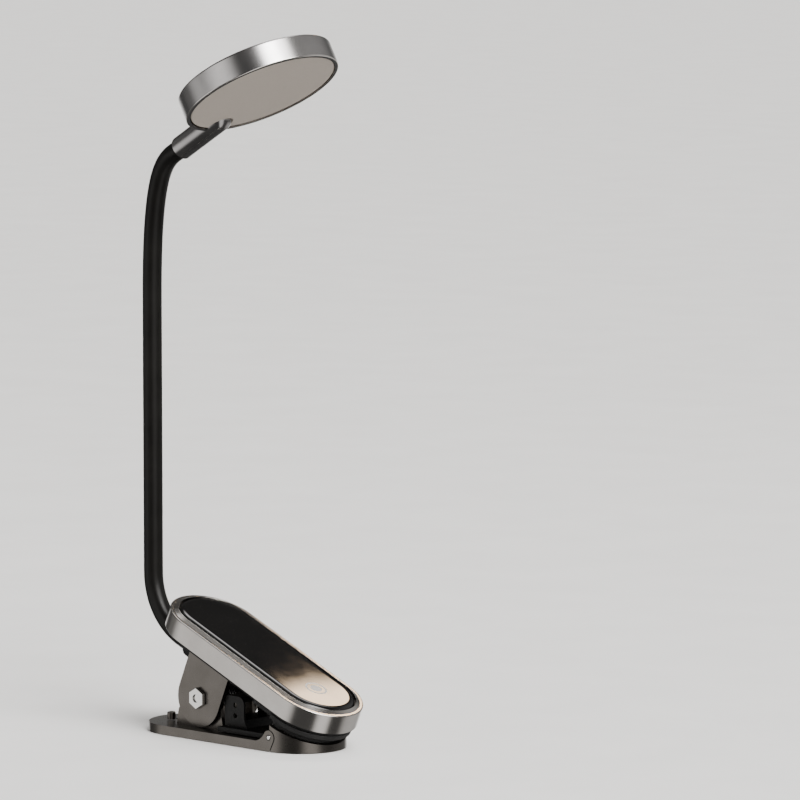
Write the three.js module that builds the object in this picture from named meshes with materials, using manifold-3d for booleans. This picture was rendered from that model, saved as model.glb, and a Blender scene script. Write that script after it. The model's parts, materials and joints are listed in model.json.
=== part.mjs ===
// Clip-on reading lamp: a flat battery housing on a spring clip, a gooseneck and a round edge-lit head.
// Millimetres, +Z up, +X towards the mouth of the clip, standing closed on its foot at z = 0.
import * as THREE from 'three';
import { mergeVertices } from 'three/addons/utils/BufferGeometryUtils.js';
import Module from 'manifold-3d';

const wasm = await Module();
wasm.setup();

// ---- driving dimensions ----
const GAP = 0.3; // room left between neighbouring pieces
const FOOT = { rear: -45.3, front: 28.4, width: 33.6, plate: 3.4 };
const AXLE = { x: -14.7, z: 14.6, radius: 2.2 }; // main axle of the clip
const EAR = { radius: 11, outside: 10.8, thick: 1.5, innerThick: 1.4 };
const HEX = { radius: 4.1, height: 1.3, recess: 1.6 };
const PIN = { x: 28, z: 5.2, radius: 0.8, knuckle: 2.65 }; // front jaw pins
const JAW = { wall: 1.5, centre: 28.5, below: 6, boss: 2.6 };
const CASE = { length: 92.8, width: 35.9, height: 7.7, tilt: 23.1, ahead: 16.1, above: 18.5 };
const RIM = { wall: 1.9, border: 2.95, land: 1.35, crest: 0.84, flange: 2.1, ledge: 1.5, ledgeThick: 0.7 };
const PANEL = { raised: 1.1, dome: 0.7, domeWidth: 1.6, key: 27.6, keyRing: 4.2, keyRingInner: 3.5,
  keyDot: 2.25 };
const SHELL = { drop: 1.3, inset: 1.1, plug: 1.3 };
const PAD = { thick: 2, inset: 1.4, rear: 13, shoulder: 24 };
const SCREW = { x: 28, y: 13.4, shank: 0.8, head: 1.6 };
const USB = { x: 18, width: 9, height: 3.2, depth: 6.7, above: 3.2 };
const NECK = { radius: 3.65, bore: 2.1, core: 1.5, below: 7.65, tail: 13.5 };
const ROUTE = { bend: 25.3, x: -49.8, rise: 58, crown: 162.3, crownReach: 52.7, ferruleReach: 8.65 };
const JOINTS = [50, 74, 98, 122, 146, 170, 194]; // lengths along the neck at which it flexes
const FLEX_GAP = 2.5;
const FERRULE = { radius: 4.63, length: 27.6, bore: 3.95, socket: 8, outside: 48.3, above: 2.35 };
const HEAD = { radius: 30, thickness: 9.07, wall: 1.5, back: 1.4, tilt: 29.66, x: 9.26, z: 240.85 };
const LEDS = 5;

const radians = THREE.MathUtils.degToRad;
const QUARTER = Math.PI / 2;

// ---- finishes ----
const FINISH = {
  satinMetal: { color: 0x6a6561, roughness: 0.35, metalness: 0.9 },
  rimMetal: { color: 0xa8a39c, roughness: 0.3, metalness: 0.95 },
  polishedSteel: { color: 0xd8d8d6, roughness: 0.12, metalness: 1 },
  springSteel: { color: 0x8c8c8a, roughness: 0.3, metalness: 1 },
  blackGlass: { color: 0x0b0a0a, roughness: 0.06, metalness: 0 },
  keyWhite: { color: 0xb9b4ae, roughness: 0.4, metalness: 0 },
  blackPlastic: { color: 0x1a1918, roughness: 0.5, metalness: 0 },
  blackRubber: { color: 0x121212, roughness: 0.8, metalness: 0 },
  silicone: { color: 0x24221f, roughness: 0.55, metalness: 0 },
  diffuser: { color: 0xd8cbbb, roughness: 0.7, metalness: 0 },
  clearAcrylic: { color: 0xf2f2ee, roughness: 0.1, metalness: 0 },
  circuitBoard: { color: 0x1d4a2c, roughness: 0.5, metalness: 0 },
  whiteBoard: { color: 0xe8e8e4, roughness: 0.5, metalness: 0 },
  phosphor: { color: 0xf0d27a, roughness: 0.5, metalness: 0 },
  cellWrap: { color: 0x9fa8ae, roughness: 0.4, metalness: 0.3 },
};

function piece(name, geometry, finish) {
  const mesh = new THREE.Mesh(geometry, new THREE.MeshStandardMaterial(FINISH[finish]));
  mesh.name = name;
  return mesh;
}

// ---- joining and cutting closed shapes ----
function solid(geometry) {
  const bare = geometry.clone();
  bare.deleteAttribute('normal');
  bare.deleteAttribute('uv');
  const merged = mergeVertices(bare, 1e-4);
  const corners = merged.index.array;
  const triVerts = [];
  for (let i = 0; i < corners.length; i += 3) {
    const [a, b, c] = [corners[i], corners[i + 1], corners[i + 2]];
    if (a !== b && b !== c && c !== a) triVerts.push(a, b, c);
  }
  return new wasm.Manifold(new wasm.Mesh({
    numProp: 3,
    vertProperties: new Float32Array(merged.attributes.position.array),
    triVerts: new Uint32Array(triVerts),
  }));
}

function geometryOf(manifold) {
  const { vertProperties, triVerts } = manifold.getMesh();
  const geometry = new THREE.BufferGeometry();
  geometry.setAttribute('position', new THREE.BufferAttribute(vertProperties, 3));
  geometry.setIndex(new THREE.BufferAttribute(triVerts, 1));
  geometry.computeVertexNormals();
  return geometry;
}

const join = (first, ...others) => geometryOf(others.reduce((sum, g) => sum.add(solid(g)), solid(first)));
const cut = (first, ...tools) => geometryOf(tools.reduce((rest, g) => rest.subtract(solid(g)), solid(first)));
const common = (first, second) => geometryOf(solid(first).intersect(solid(second)));

// ---- basic shapes ----
function slab(shape, low, high, curveSegments = 8) {
  const settings = { depth: high - low, bevelEnabled: false, curveSegments };
  return new THREE.ExtrudeGeometry(shape, settings).translate(0, 0, low);
}

// a profile drawn in x and z, running from y = left to y = right
function crosswise(shape, left, right, curveSegments = 6) {
  const settings = { depth: right - left, bevelEnabled: false, curveSegments };
  return new THREE.ExtrudeGeometry(shape, settings).rotateX(QUARTER).translate(0, right, 0);
}

const block = (x0, x1, y0, y1, z0, z1) =>
  new THREE.BoxGeometry(x1 - x0, y1 - y0, z1 - z0).translate((x0 + x1) / 2, (y0 + y1) / 2, (z0 + z1) / 2);
const disc = (radius, low, high, x = 0, y = 0, sides = 16) =>
  new THREE.CylinderGeometry(radius, radius, high - low, sides).rotateX(QUARTER)
    .translate(x, y, (low + high) / 2);
const rod = (radius, left, right, x = 0, z = 0, sides = 16) =>
  new THREE.CylinderGeometry(radius, radius, right - left, sides).translate(x, (left + right) / 2, z);
const onBothSides = (make) => [-1, 1].map(make);
const span = (side, inner, outer) => [side * inner, side * outer].sort((a, b) => a - b);

function stadium(length, width) {
  const r = width / 2;
  const c = length / 2 - r;
  const shape = new THREE.Shape();
  shape.absarc(c, 0, r, -QUARTER, QUARTER);
  shape.absarc(-c, 0, r, QUARTER, 3 * QUARTER);
  return shape;
}
const caseOutline = (inset) => stadium(CASE.length - 2 * inset, CASE.width - 2 * inset);

const turned = (profile, sides) =>
  new THREE.LatheGeometry(profile.map(([r, z]) => new THREE.Vector2(r, z)), sides).rotateX(QUARTER);

// ---- clip foot: lever, axle, spring, stop block ----
const halfFoot = FOOT.width / 2;
const slope = Math.tan(radians(CASE.tilt));
const innerEarOutside = EAR.outside - EAR.thick - GAP;
const innerEarInside = innerEarOutside - EAR.innerThick;

function leverEarProfile() {
  const top = EAR.radius - 0.6;
  const shape = new THREE.Shape();
  shape.moveTo(AXLE.x - 13.8, FOOT.plate - 1);
  shape.lineTo(AXLE.x + 11.8, FOOT.plate - 1);
  shape.quadraticCurveTo(AXLE.x + 10.2, 7, AXLE.x + 9.8, AXLE.z - 3.2);
  shape.absarc(AXLE.x, AXLE.z, top, radians(-18), radians(180));
  shape.quadraticCurveTo(AXLE.x - 10.4, 11, AXLE.x - 12.4, 9.4);
  return shape;
}

// the lever's side wall rises through a fillet to the knuckle of the front jaw's pin
function knuckleProfile() {
  const shape = new THREE.Shape();
  shape.moveTo(21.5, FOOT.plate - 1);
  shape.lineTo(21.5, FOOT.plate);
  shape.quadraticCurveTo(24.5, 4.2, PIN.x - 1.97, PIN.z + 1.77);
  shape.absarc(PIN.x, PIN.z, PIN.knuckle, radians(138), radians(-20), true);
  shape.lineTo(FOOT.front, 0);
  shape.lineTo(21.5, 0);
  return shape;
}

function leverGeometry() {
  const centre = FOOT.rear + halfFoot;
  const plan = new THREE.Shape();
  plan.absarc(centre, 0, halfFoot, QUARTER, 3 * QUARTER);
  plan.lineTo(FOOT.front, -halfFoot);
  plan.lineTo(FOOT.front, halfFoot);
  const wall = halfFoot - JAW.wall;
  const ears = onBothSides((side) =>
    crosswise(leverEarProfile(), ...span(side, innerEarInside, innerEarOutside), 10));
  const knuckles = onBothSides((side) => crosswise(knuckleProfile(), ...span(side, wall, halfFoot), 10));
  const notches = onBothSides((side) => block(PIN.x - 3.6, FOOT.front + 2,
    side * (wall - 1.1) - 1.1, side * (wall - 1.1) + 1.1, -1, 12));
  const axleHole = rod(AXLE.radius + GAP, -20, 20, AXLE.x, AXLE.z);
  const pinHole = rod(PIN.radius + GAP, -20, 20, PIN.x, PIN.z, 14);
  return cut(join(slab(plan, 0, FOOT.plate, 16), ...ears, ...knuckles), ...notches, axleHole, pinHole);
}

function hexCap(side) {
  const inner = EAR.outside + GAP;
  const ends = span(side, inner, inner + HEX.height);
  const recess = span(side, inner + HEX.height - 0.6, inner + HEX.height + 1);
  return cut(rod(HEX.radius, ...ends, AXLE.x, AXLE.z, 6), rod(HEX.recess, ...recess, AXLE.x, AXLE.z));
}

// one half of the torsion spring: coils round the axle, then a straight leg
function springHalf(side, startAngle, turns, legPoints) {
  const [coil, wire, first, pitch, steps] = [3.9, 0.6, 0.9, 1.3, 10];
  const points = [];
  for (let i = 0; i <= turns * steps; i += 1) {
    const angle = startAngle - (i / steps) * 2 * Math.PI;
    const y = side * (first + (i / steps) * pitch);
    points.push(new THREE.Vector3(coil * Math.cos(angle), y, coil * Math.sin(angle)));
  }
  legPoints.forEach(([x, z]) => points.push(new THREE.Vector3(x, points.at(-1).y, z)));
  const section = new THREE.Shape().absarc(0, 0, wire, 0, 2 * Math.PI);
  const path = new THREE.CatmullRomCurve3(points);
  const settings = { steps: points.length - 1, curveSegments: 3, extrudePath: path };
  return new THREE.ExtrudeGeometry(section, settings);
}

function throatBlockGeometry() {
  const [rear, front, low, top] = [-2.6, 7.5, FOOT.plate + GAP, 17];
  const tower = new THREE.Shape();
  tower.moveTo(rear, low);
  tower.lineTo(front + 3.5, low);
  tower.quadraticCurveTo(front, low + 3, front, low + 6);
  tower.absarc(front - 3, top - 3, 3, 0, QUARTER);
  tower.absarc(rear + 1.5, top - 1.5, 1.5, QUARTER, Math.PI);
  const tray = block(rear, 23, -12.8, 12.8, low, low + 1.8);
  const dimples = [9.7, 13.6].map((z) => rod(0.95, -10, 10, 2.9, z, 14));
  const body = cut(crosswise(tower, -9, 9), block(-5, 10, -8.2, 8.2, 8.5, 15));
  return cut(join(body, tray), ...dimples);
}

const pegs = onBothSides((side) => piece(side < 0 ? 'spring_peg_right' : 'spring_peg_left',
  disc(1.6, FOOT.plate + GAP, 6.6, -35.2, side * 5, 16), 'springSteel'));

const foot = new THREE.Group().add(
  piece('lever', leverGeometry(), 'satinMetal'),
  piece('main_axle', rod(AXLE.radius, -EAR.outside, EAR.outside, AXLE.x, AXLE.z), 'springSteel'),
  piece('hex_cap_right', hexCap(-1), 'polishedSteel'),
  piece('hex_cap_left', hexCap(1), 'polishedSteel'),
  piece('throat_block', throatBlockGeometry(), 'blackPlastic'),
  ...pegs,
);
const lowerLeg = [[-9, -6.6], [-16, -9.9]];
const lowerSpring = piece('spring_lower_half', springHalf(-1, 0, 4.3, lowerLeg), 'springSteel');
lowerSpring.position.set(AXLE.x, 0, AXLE.z);
foot.add(lowerSpring);
onBothSides((side) => {
  const ends = span(side, halfFoot - 3.1, halfFoot + 0.1);
  const name = side < 0 ? 'jaw_pin_right' : 'jaw_pin_left';
  foot.add(piece(name, rod(PIN.radius, ...ends, PIN.x, PIN.z, 14), 'polishedSteel'));
});

// ---- front jaw: a wedge-shaped cup with a rubber pad ----
// height at x of a plane parallel to the closed housing, a distance below the underside of its rim
const rimPlane = AXLE.z + CASE.above / Math.cos(radians(CASE.tilt)) + AXLE.x * slope;
const underCase = (x, below) => rimPlane - below / Math.cos(radians(CASE.tilt)) - slope * x;

function jawSideProfile() {
  const top = (x) => underCase(x, JAW.below);
  const arc = PIN.knuckle + 0.35;
  const shape = new THREE.Shape();
  shape.moveTo(FOOT.front + 0.45, 0);
  shape.lineTo(46, 0);
  shape.lineTo(46, top(46));
  shape.lineTo(29.5, top(29.5));
  shape.quadraticCurveTo(25.5, top(25.5) + 0.4, 22.9, 15.2);
  shape.quadraticCurveTo(22.2, 15.6, 22, 14.6);
  shape.quadraticCurveTo(20.6, 11.4, 22.4, 9.4);
  shape.lineTo(25.1, 7.9);
  shape.absarc(PIN.x, PIN.z, arc, radians(112), radians(-20), true);
  return shape;
}

function jawOutline(inset, rear) {
  const r = halfFoot - inset;
  const shape = new THREE.Shape();
  shape.moveTo(rear, -r);
  shape.absarc(JAW.centre, 0, r, -QUARTER, QUARTER);
  shape.lineTo(rear, r);
  return shape;
}

function jawShellGeometry() {
  const outer = common(slab(jawOutline(0, 18), 0, 18, 16), crosswise(jawSideProfile(), -20, 20, 10));
  const cup = cut(outer, slab(jawOutline(JAW.wall, 10), JAW.wall, 20, 16));
  const inner = halfFoot - JAW.wall - 0.3;
  const bosses = onBothSides((side) => {
    const ends = span(side, inner - 1.6, inner);
    return join(rod(JAW.boss, ...ends, PIN.x, PIN.z), block(PIN.x, 33, ...ends, PIN.z - 2.4, PIN.z + 2),
      block(31.2, 33, ...span(side, inner - 1.6, inner + 0.5), 1, PIN.z + 2));
  });
  const pinHole = rod(PIN.radius + GAP, -15.3, 15.3, PIN.x, PIN.z, 14);
  return cut(join(cup, ...bosses), pinHole);
}

function jawPadGeometry() {
  const [rear, plug, floor] = [21.6, 29.5, JAW.wall + GAP];
  const top = JAW.below - SHELL.drop - PAD.thick - 2 * GAP - 0.05;
  const profile = new THREE.Shape();
  profile.moveTo(plug, floor);
  profile.lineTo(46, floor);
  profile.lineTo(46, underCase(46, JAW.below - top));
  profile.lineTo(rear, underCase(rear, JAW.below - top));
  profile.lineTo(rear, underCase(rear, JAW.below + 0.6));
  profile.lineTo(plug, underCase(plug, JAW.below + 0.6));
  const body = common(slab(jawOutline(JAW.wall + GAP, rear - 1), 0, 20, 14), crosswise(profile, -20, 20));
  const room = onBothSides((side) => block(20, 33.4, side * 15 - 1.9, side * 15 + 1.9, 0, PIN.z + 3));
  return cut(body, ...room);
}

const jaw = new THREE.Group().add(
  piece('jaw_shell', jawShellGeometry(), 'satinMetal'),
  piece('jaw_pad', jawPadGeometry(), 'blackRubber'),
);

// ---- base housing: everything here is placed from the middle of the rim's underside ----
const screwPlaces = [[-1, -1], [-1, 1], [1, -1], [1, 1]].map(([i, j]) => [i * SCREW.x, j * SCREW.y]);
const flangeLow = CASE.height - RIM.flange;
const ledgeTop = flangeLow + RIM.ledgeThick;
const panelLow = ledgeTop + GAP;
const panelTop = CASE.height + PANEL.raised;

function rimGeometry() {
  const inner = slab(caseOutline(RIM.wall), -1, flangeLow);
  const opening = slab(caseOutline(RIM.border), ledgeTop, 20);
  const through = slab(caseOutline(RIM.border + RIM.ledge), -1, 20);
  // a sloped frame stands on the flat outer land, up to the crest beside the panel
  const frame = new THREE.ExtrudeGeometry(caseOutline(RIM.border), { depth: 1, bevelSegments: 1,
    bevelThickness: RIM.crest, bevelSize: RIM.border - RIM.land, curveSegments: 8 })
    .translate(0, 0, CASE.height - 1);
  const bosses = screwPlaces.map(([x, y]) => disc(2.2, SHELL.plug + GAP, flangeLow + 0.5, x, y, 10));
  const threads = screwPlaces.map(([x, y]) => disc(SCREW.shank + GAP, 0, flangeLow - 0.4, x, y, 8));
  const mouth = crosswise(stadium(USB.width + 2 * GAP, USB.height + 2 * GAP), 14, 20)
    .translate(USB.x, 0, USB.above);
  const hollow = cut(join(slab(caseOutline(0), 0, CASE.height, 10), frame), inner, opening, through);
  return cut(join(hollow, ...bosses), ...threads, mouth);
}

function panelGeometry() {
  const settings = { depth: 5, bevelSegments: 3, curveSegments: 8, bevelThickness: PANEL.dome,
    bevelSize: PANEL.domeWidth };
  const domed = new THREE.ExtrudeGeometry(caseOutline(RIM.border + GAP + PANEL.domeWidth), settings)
    .translate(0, 0, panelTop - PANEL.dome - 5);
  const plate = common(domed, slab(caseOutline(0), panelLow, 20));
  const low = panelTop - 0.6;
  const ringRoom = cut(disc(PANEL.keyRing + 0.1, low, 20, PANEL.key, 0, 20),
    disc(PANEL.keyRingInner - 0.1, 0, 21, PANEL.key, 0, 20));
  return cut(plate, ringRoom, disc(PANEL.keyDot + 0.1, low, 20, PANEL.key, 0, 16));
}

const keyRing = () => cut(disc(PANEL.keyRing, panelTop - 0.5, panelTop, PANEL.key, 0, 20),
  disc(PANEL.keyRingInner, 0, 20, PANEL.key, 0, 20));

function bottomShellGeometry() {
  const flange = slab(caseOutline(SHELL.inset), -SHELL.drop, -GAP);
  const plug = slab(caseOutline(RIM.wall + GAP), -GAP - 0.2, SHELL.plug);
  const tray = slab(caseOutline(RIM.wall + GAP + 1.2), -0.1, 5);
  const wells = screwPlaces.flatMap(([x, y]) => [disc(SCREW.head + GAP, -5, -0.3, x, y, 10),
    disc(SCREW.shank + GAP, -2, 5, x, y, 8)]);
  const bracketHoles = onBothSides((side) => disc(1.1, -3, 0.6, 7.5 - CASE.ahead, side * 6, 12));
  const floor = join(flange, plug);
  return cut(floor, common(tray, block(-36, 40, -10.9, 10.9, -0.1, 5)), ...wells, ...bracketHoles);
}

const screw = (x, y, headLow, headHigh, tip) =>
  join(disc(SCREW.head, headLow, headHigh, x, y, 10), disc(SCREW.shank, headHigh - 0.1, tip, x, y, 8));

function upperPadGeometry() {
  const high = -SHELL.drop - GAP;
  const half = halfFoot - JAW.wall - GAP;
  const reach = join(block(PAD.rear, PAD.shoulder + 1, -half, half, -20, 20),
    block(PAD.shoulder, 60, -30, 30, -20, 20));
  return common(slab(caseOutline(PAD.inset), high - PAD.thick, high), reach);
}

function usbGeometry() {
  const shell = crosswise(stadium(USB.width, USB.height), 17.7 - USB.depth, 17.7);
  const mouth = crosswise(stadium(USB.width - 0.7, USB.height - 0.7), 18.2 - USB.depth, 20);
  const tongue = block(-3.3, 3.3, 11, 16.2, -0.35, 0.35);
  return join(cut(shell, mouth), tongue).translate(USB.x, 0, USB.above);
}

function boardGeometry() {
  const [low, high] = [0.3, 1.3];
  const sheet = block(9, 37.5, -10.6, 10.6, low, high);
  // middle x and y, half length and half width, and height of each chip
  const parts = [[13, -5, 3, 3, 1], [20, -6, 1.6, 1.2, 0.8], [20, -2, 1.6, 1.2, 0.8], [13, 3, 2, 1.2, 1.2]];
  const chips = parts.map(([x, y, w, d, h]) => block(x - w, x + w, y - d, y + d, high - 0.2, high + h));
  return join(sheet, ...chips);
}

const upperCase = new THREE.Group().add(
  piece('base_rim', rimGeometry(), 'rimMetal'),
  piece('top_panel', panelGeometry(), 'blackGlass'),
  piece('key_ring', keyRing(), 'keyWhite'),
  piece('key_dot', disc(PANEL.keyDot, panelTop - 0.5, panelTop, PANEL.key, 0, 16), 'keyWhite'),
  piece('bottom_shell', bottomShellGeometry(), 'blackPlastic'),
  piece('upper_pad', upperPadGeometry(), 'blackRubber'),
  piece('battery_cell', block(-35, 7, -10, 10, 0.3, 5), 'cellWrap'),
  piece('main_board', boardGeometry(), 'circuitBoard'),
  piece('touch_pad', disc(4, 1.6, panelLow - GAP, PANEL.key, 0, 20), 'blackRubber'),
  piece('usb_socket', usbGeometry(), 'springSteel'),
  ...screwPlaces.map(([x, y], i) =>
    piece(`case_screw_${i + 1}`, screw(x, y, -1.2, -0.6, 4.4), 'springSteel')),
);
upperCase.position.set(CASE.ahead, 0, CASE.above);

// ---- clip bracket, neck socket and upper spring half, placed from the axle ----
const shellLow = CASE.above - SHELL.drop;
const bracketTop = shellLow - GAP;
const bracketLow = bracketTop - 1.3;

function bracketGeometry() {
  const side = new THREE.Shape();
  side.moveTo(EAR.radius, 0);
  side.lineTo(EAR.radius, bracketTop);
  side.lineTo(-EAR.radius, bracketTop);
  side.lineTo(-EAR.radius, 0);
  side.absarc(0, 0, EAR.radius, Math.PI, 2 * Math.PI);
  const inside = EAR.outside - EAR.thick;
  const ears = crosswise(side, -EAR.outside, EAR.outside, 12);
  const space = block(-20, 20, -inside, inside, -20, bracketLow);
  const screwHoles = onBothSides((hand) => disc(1.1, bracketLow - 1, bracketTop + 1, 7.5, hand * 6, 12));
  return cut(ears, space, rod(AXLE.radius + GAP, -20, 20), ...screwHoles);
}

const neckLow = CASE.above - NECK.below;
function neckSocketGeometry() {
  const [mouth, inner] = [-20, -10.6];
  const along = (radius, from, to, sides) =>
    new THREE.CylinderGeometry(radius, radius, to - from, sides).rotateZ(-QUARTER)
      .translate((from + to) / 2, 0, neckLow);
  const web = block(mouth, inner, -4, 4, neckLow, bracketTop);
  const plateRoom = block(-EAR.radius - GAP, 0, -12, 12, bracketLow - GAP, bracketTop + 5);
  return cut(join(along(5.1, mouth, inner, 16), web), plateRoom,
    along(NECK.radius + GAP, mouth - 1, inner - 1.5, 16));
}

const housing = new THREE.Group().add(
  upperCase,
  piece('clip_bracket', bracketGeometry(), 'satinMetal'),
  piece('neck_socket', neckSocketGeometry(), 'blackPlastic'),
  piece('spring_upper_half', springHalf(1, 0, 3.4, [[-7.5, 6.5], [-9.6, 14.3]]), 'springSteel'),
  ...onBothSides((side) => piece(side < 0 ? 'bracket_screw_right' : 'bracket_screw_left',
    screw(7.5, side * 6, bracketLow - 1.1, bracketLow - GAP, CASE.above + 0.2), 'springSteel')),
);
housing.position.set(AXLE.x, 0, AXLE.z);
housing.rotation.y = radians(CASE.tilt);

// ---- neck: one route, parted where it flexes ----
const neckLine = new THREE.CurvePath();
const at = (x, z) => new THREE.Vector3(x, 0, z);
const headAlong = at(Math.cos(radians(HEAD.tilt)), Math.sin(radians(HEAD.tilt)));
const headUp = at(-Math.sin(radians(HEAD.tilt)), Math.cos(radians(HEAD.tilt)));
const ferruleStart = at(HEAD.x, HEAD.z).addScaledVector(headAlong, -FERRULE.outside)
  .addScaledVector(headUp, FERRULE.above);

class BendCurve extends THREE.Curve {
  // an arc in the x-z plane that turns from the slope of the housing to straight up
  getPoint(t) {
    const angle = Math.PI + (1 - t) * radians(90 - CASE.tilt);
    return at(ROUTE.x + ROUTE.bend + ROUTE.bend * Math.cos(angle), ROUTE.rise + ROUTE.bend * Math.sin(angle));
  }
}

const bend = new BendCurve();
const caseAlong = at(Math.cos(radians(CASE.tilt)), -Math.sin(radians(CASE.tilt)));
neckLine.add(new THREE.LineCurve3(bend.getPoint(0).addScaledVector(caseAlong, NECK.tail), bend.getPoint(0)));
neckLine.add(bend);
neckLine.add(new THREE.LineCurve3(at(ROUTE.x, ROUTE.rise), at(ROUTE.x, ROUTE.crown)));
neckLine.add(new THREE.CubicBezierCurve3(
  at(ROUTE.x, ROUTE.crown), at(ROUTE.x, ROUTE.crown + ROUTE.crownReach),
  ferruleStart.clone().addScaledVector(headAlong, -ROUTE.ferruleReach), ferruleStart));
const neckEnd = ferruleStart.clone().addScaledVector(headAlong, FERRULE.socket - 1);
neckLine.add(new THREE.LineCurve3(ferruleStart, neckEnd));
const neckLength = neckLine.getLength();

function neckStretch(from, to, outline) {
  const steps = Math.max(1, Math.round((to - from) / 5.5));
  const points = [];
  for (let i = 0; i <= steps; i += 1) {
    points.push(neckLine.getPointAt((from + ((to - from) * i) / steps) / neckLength));
  }
  const path = new THREE.CatmullRomCurve3(points);
  return new THREE.ExtrudeGeometry(outline, { steps, curveSegments: 6, extrudePath: path });
}

function neckPieces(index) {
  const from = index === 0 ? 0 : JOINTS[index - 1] + FLEX_GAP / 2;
  const to = index === JOINTS.length ? neckLength : JOINTS[index] - FLEX_GAP / 2;
  const sleeveOutline = new THREE.Shape().absarc(0, 0, NECK.radius, 0, 2 * Math.PI);
  sleeveOutline.holes.push(new THREE.Path().absarc(0, 0, NECK.bore, 0, 2 * Math.PI, true));
  const coreOutline = new THREE.Shape().absarc(0, 0, NECK.core, 0, 2 * Math.PI);
  return [
    piece(`neck_sleeve_${index}`, neckStretch(from, to, sleeveOutline), 'silicone'),
    piece(`neck_core_${index}`, neckStretch(from + GAP, to - GAP, coreOutline), 'springSteel'),
  ];
}

const neck = new THREE.Group();
for (let index = 0; index <= JOINTS.length; index += 1) neck.add(...neckPieces(index));

// ---- head: placed from the middle of its lit face, which looks down along -z of this group ----
function ferruleGeometry() {
  const profile = [[0, FERRULE.socket], [FERRULE.bore, FERRULE.socket], [FERRULE.bore, 0],
    [FERRULE.radius - 0.5, 0], [FERRULE.radius, 0.6]];
  const nose = 4.2;
  for (let i = 0; i <= 4; i += 1) {
    const angle = (i / 4) * QUARTER;
    profile.push([FERRULE.radius * Math.cos(angle), FERRULE.length - nose + nose * Math.sin(angle)]);
  }
  profile[profile.length - 1][0] = 0;
  const points = profile.map(([r, y]) => new THREE.Vector2(r, y));
  return new THREE.LatheGeometry(points, 18).rotateZ(-QUARTER).translate(-FERRULE.outside, 0, FERRULE.above);
}

const inside = HEAD.radius - HEAD.wall;
const ferruleSlot = (room) => new THREE.CylinderGeometry(FERRULE.radius + room, FERRULE.radius + room, 16, 18)
  .rotateZ(-QUARTER).translate(-32, 0, FERRULE.above);
const ferruleNotch = (room) => {
  const end = FERRULE.length - FERRULE.outside;
  const half = FERRULE.radius + room;
  return join(block(-40, end - half, -half, half, -1, 12), disc(half, -1, 12, end - half + room, 0, 18));
};
const ledPlaces = Array.from({ length: LEDS }, (_, i) => ((i + 0.5) / LEDS) * 2 * Math.PI);
const around = (radius, degrees) =>
  [radius * Math.cos(radians(degrees)), radius * Math.sin(radians(degrees))];
const headScrewPlaces = [60, 300, 0].map((angle) => around(20, angle));
const boardLow = 4.9;
const boardHigh = 5.9;

function headShellGeometry() {
  const ceiling = HEAD.thickness - HEAD.back;
  const shell = turned([[0, ceiling], [inside, ceiling], [inside, 0], [HEAD.radius - 0.3, 0],
    [HEAD.radius, 0.3], [HEAD.radius, HEAD.thickness - 0.6], [HEAD.radius - 0.6, HEAD.thickness],
    [0, HEAD.thickness]], 48);
  const bosses = headScrewPlaces.map(([x, y]) => disc(2.2, boardHigh + GAP, ceiling + 0.5, x, y, 14));
  const threads = headScrewPlaces.map(([x, y]) => disc(SCREW.shank + GAP, 0, ceiling + 0.2, x, y, 10));
  return cut(join(cut(shell, ferruleSlot(GAP)), ...bosses), ...threads);
}

const headLayer = (radius, low, high, ...tools) =>
  cut(disc(radius, low, high, 0, 0, 40), ferruleNotch(GAP), ...tools);
const screwRoom = (radius) => headScrewPlaces.map(([x, y]) => disc(radius, -1, 12, x, y, 12));

const head = new THREE.Group().add(
  piece('ferrule', ferruleGeometry(), 'satinMetal'),
  piece('head_shell', headShellGeometry(), 'satinMetal'),
  piece('diffuser', headLayer(inside - GAP, 0.3, 1.6), 'diffuser'),
  piece('light_guide', headLayer(inside - GAP, 1.9, 3.2), 'clearAcrylic'),
  piece('led_board', headLayer(26.5, boardLow, boardHigh, ...screwRoom(1.1)), 'whiteBoard'),
  ...ledPlaces.map((angle, i) => piece(`led_${i + 1}`, block(-1.4, 1.4, -1.75, 1.75, 3.8, boardLow - 0.3)
    .rotateZ(angle).translate(14 * Math.cos(angle), 14 * Math.sin(angle), 0), 'phosphor')),
  ...headScrewPlaces.map(([x, y], i) => piece(`head_screw_${i + 1}`,
    screw(x, y, 3.6, boardLow - 0.2, 7.4), 'springSteel')),
);
head.position.set(HEAD.x, 0, HEAD.z);
head.rotation.y = -radians(HEAD.tilt);

const lamp = new THREE.Group().add(foot, jaw, housing, neck, head);
export default lamp;
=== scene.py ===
"""A clip-on reading lamp: a flat housing on a spring clip, a black gooseneck and a round lit head."""
import json
import math

import bmesh
import bpy
from mathutils import Matrix, Vector


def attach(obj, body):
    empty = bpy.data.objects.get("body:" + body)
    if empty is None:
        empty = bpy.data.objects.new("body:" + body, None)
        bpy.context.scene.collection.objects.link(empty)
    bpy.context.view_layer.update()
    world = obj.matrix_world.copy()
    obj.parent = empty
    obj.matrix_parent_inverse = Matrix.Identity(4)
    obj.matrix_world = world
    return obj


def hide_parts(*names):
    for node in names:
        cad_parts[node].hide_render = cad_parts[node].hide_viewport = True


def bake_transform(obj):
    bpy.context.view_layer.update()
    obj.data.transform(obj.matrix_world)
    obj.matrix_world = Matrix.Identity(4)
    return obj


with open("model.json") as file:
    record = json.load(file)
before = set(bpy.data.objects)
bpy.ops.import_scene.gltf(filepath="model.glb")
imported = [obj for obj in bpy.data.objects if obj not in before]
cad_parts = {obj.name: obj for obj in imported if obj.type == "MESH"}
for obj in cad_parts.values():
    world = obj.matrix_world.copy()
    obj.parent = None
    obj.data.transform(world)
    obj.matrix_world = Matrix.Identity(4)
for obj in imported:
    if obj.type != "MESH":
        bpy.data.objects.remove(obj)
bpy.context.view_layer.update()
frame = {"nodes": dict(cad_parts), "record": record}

MM = 0.001
QUARTER = math.pi / 2
JOINTS = {joint["name"]: joint for joint in frame["record"]["behaviour"]["joints"]}
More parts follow.
